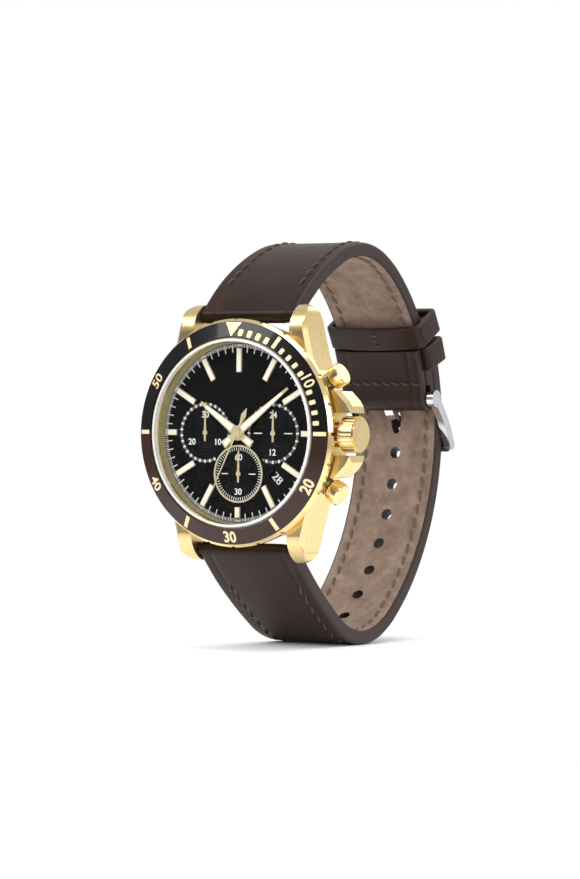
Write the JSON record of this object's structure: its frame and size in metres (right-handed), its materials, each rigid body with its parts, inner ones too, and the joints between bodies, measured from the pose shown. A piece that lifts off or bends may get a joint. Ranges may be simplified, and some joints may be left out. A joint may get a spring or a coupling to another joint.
{
  "type": "chronograph wristwatch",
  "caption": "Round chronograph wristwatch with a turning dive-style bezel, crown, push-pieces and hands, on a buckled two-piece leather strap.",
  "frame": {"origin": "centre of the case back's outer face", "axes": "+Z towards twelve o'clock, +X towards the crown (three o'clock), -Y out of the dial and +Y into the wrist"},
  "size_m": [0.0487, 0.0707, 0.0815],
  "materials": {
    "gold_case": "polished and brushed pale gold plating",
    "steel_back": "brushed",
    "rubber": "matte",
    "crystal": "polished",
    "gasket_white": "smooth",
    "dial_black": "satin lacquer",
    "gold_trim": "polished",
    "spring_steel": "satin",
    "holder_plastic": "matte",
    "brass": "satin",
    "board_green": "gloss",
    "copper": "enamelled wire",
    "leather_brown": "semi-gloss smooth",
    "lining_taupe": "suede-like",
    "bezel_insert": "gloss",
    "buckle_steel": "polished"
  },
  "bodies": {
    "case": {"case_middle": "gold_case", "caseback": "steel_back", "caseback_gasket": "rubber", "crystal": "crystal", "crystal_gasket": "gasket_white", "rehaut_ring": "gold_case", "dial": "dial_black", "hour_markers": "gold_trim", "counter_ring": "gold_trim", "crown_tube": "gold_case", "pusher_tubes": "gold_case", "bezel_click_spring": "spring_steel", "movement_holder": "holder_plastic", "main_plate": "brass", "train_bridge": "spring_steel", "circuit_board": "board_green", "battery": "spring_steel", "battery_clamp": "spring_steel", "motor_coils": "copper", "centre_tube": "brass", "strap_upper_leather": "leather_brown", "strap_upper_lining": "lining_taupe", "strap_lower_leather": "leather_brown", "strap_lower_lining": "lining_taupe", "fixed_keeper": "leather_brown", "spring_bar_upper": "spring_steel", "spring_bar_lower": "spring_steel", "pusher_start_spring": "spring_steel", "pusher_reset_spring": "spring_steel"},
    "bezel": {"bezel_ring": "gold_case", "bezel_insert": "bezel_insert", "bezel_wire": "spring_steel"},
    "setting_lever": {"setting_lever": "spring_steel"},
    "crown": {"winding_stem": "spring_steel", "crown_cap": "gold_case", "crown_gasket": "rubber"},
    "start_pusher": {"pusher_start": "gold_case"},
    "reset_pusher": {"pusher_reset": "gold_case"},
    "minute": {"minute_hand": "gold_trim", "cannon_pinion": "brass"},
    "minute_wheel": {"minute_wheel": "brass"},
    "hour": {"hour_hand": "gold_trim", "hour_wheel": "brass"},
    "seconds": {"seconds_hand": "gold_trim", "seconds_arbor": "spring_steel"},
    "counter_seconds": {"counter_seconds_hand": "gold_trim", "counter_seconds_arbor": "spring_steel"},
    "counter_minutes": {"counter_minutes_hand": "gold_trim", "counter_minutes_arbor": "spring_steel"},
    "counter_hours": {"counter_hours_hand": "gold_trim", "counter_hours_arbor": "spring_steel"},
    "date_disc": {"date_disc": "dial_black"},
    "buckle": {"buckle_frame": "buckle_steel", "buckle_bar": "buckle_steel"},
    "tongue": {"buckle_tongue": "buckle_steel"},
    "free_keeper": {"free_keeper": "leather_brown"}
  },
  "joints": [
    {"name": "bezel_turn", "type": "hinge", "parent": "case", "child": "bezel", "pos_m": [0, -0.0095, 0], "axis": [0, -1, 0], "continuous": true},
    {"name": "crown_pull", "type": "slide", "parent": "case", "child": "setting_lever", "axis": [1, 0, 0], "range_m": [0, 0.001]},
    {"name": "crown_turn", "type": "hinge", "parent": "setting_lever", "child": "crown", "pos_m": [0.024, -0.0055, 0], "axis": [1, 0, 0], "continuous": true},
    {"name": "start_press", "type": "slide", "parent": "case", "child": "start_pusher", "axis": [-0.8788, 0, -0.4772], "range_m": [0, 0.0008], "stiffness_N_per_m": 1500, "springref_m": -0.0005, "deforming": ["pusher_start_spring"]},
    {"name": "reset_press", "type": "slide", "parent": "case", "child": "reset_pusher", "axis": [-0.8788, 0, 0.4772], "range_m": [0, 0.0008], "stiffness_N_per_m": 1500, "springref_m": -0.0005, "deforming": ["pusher_reset_spring"]},
    {"name": "minute_turn", "type": "hinge", "parent": "case", "child": "minute", "pos_m": [0, -0.0093, 0], "axis": [0, 1, 0], "continuous": true},
    {"name": "minute_wheel_turn", "type": "hinge", "parent": "case", "child": "minute_wheel", "pos_m": [0.0018, -0.0072, 0.00312], "axis": [0, 1, 0], "continuous": true},
    {"name": "hour_turn", "type": "hinge", "parent": "case", "child": "hour", "pos_m": [0, -0.009, 0], "axis": [0, 1, 0], "continuous": true},
    {"name": "seconds_turn", "type": "hinge", "parent": "case", "child": "seconds", "pos_m": [0, -0.0096, 0], "axis": [0, 1, 0], "continuous": true},
    {"name": "counter_seconds_turn", "type": "hinge", "parent": "case", "child": "counter_seconds", "pos_m": [0, -0.0087, -0.00805], "axis": [0, 1, 0], "continuous": true},
    {"name": "counter_minutes_turn", "type": "hinge", "parent": "case", "child": "counter_minutes", "pos_m": [-0.00796, -0.0087, 0], "axis": [0, 1, 0], "continuous": true},
    {"name": "counter_hours_turn", "type": "hinge", "parent": "case", "child": "counter_hours", "pos_m": [0.00796, -0.0087, 0], "axis": [0, 1, 0], "continuous": true},
    {"name": "date_disc_turn", "type": "hinge", "parent": "case", "child": "date_disc", "pos_m": [0, -0.0078, 0], "axis": [0, 1, 0], "continuous": true},
    {"name": "buckle_swing", "type": "hinge", "parent": "case", "child": "buckle", "pos_m": [0, 0.04915, 0.00766], "axis": [1, 0, 0], "range_deg": [0, 10]},
    {"name": "tongue_swing", "type": "hinge", "parent": "buckle", "child": "tongue", "pos_m": [0, 0.04915, 0.00766], "axis": [1, 0, 0], "range_deg": [-1, 3]},
    {"name": "keeper_slide", "type": "hinge", "parent": "case", "child": "free_keeper", "pos_m": [0, 0.01123, 0.00147], "axis": [1, 0, 0], "range_deg": [0, 8]}
  ],
  "couplings": [
    {"joint": "minute_wheel_turn", "follows": "minute_turn", "ratio": -0.33333},
    {"joint": "hour_turn", "follows": "minute_turn", "ratio": 0.083333},
    {"joint": "counter_minutes_turn", "follows": "counter_seconds_turn", "ratio": 0.033333},
    {"joint": "counter_hours_turn", "follows": "counter_seconds_turn", "ratio": 0.00069444}
  ]
}
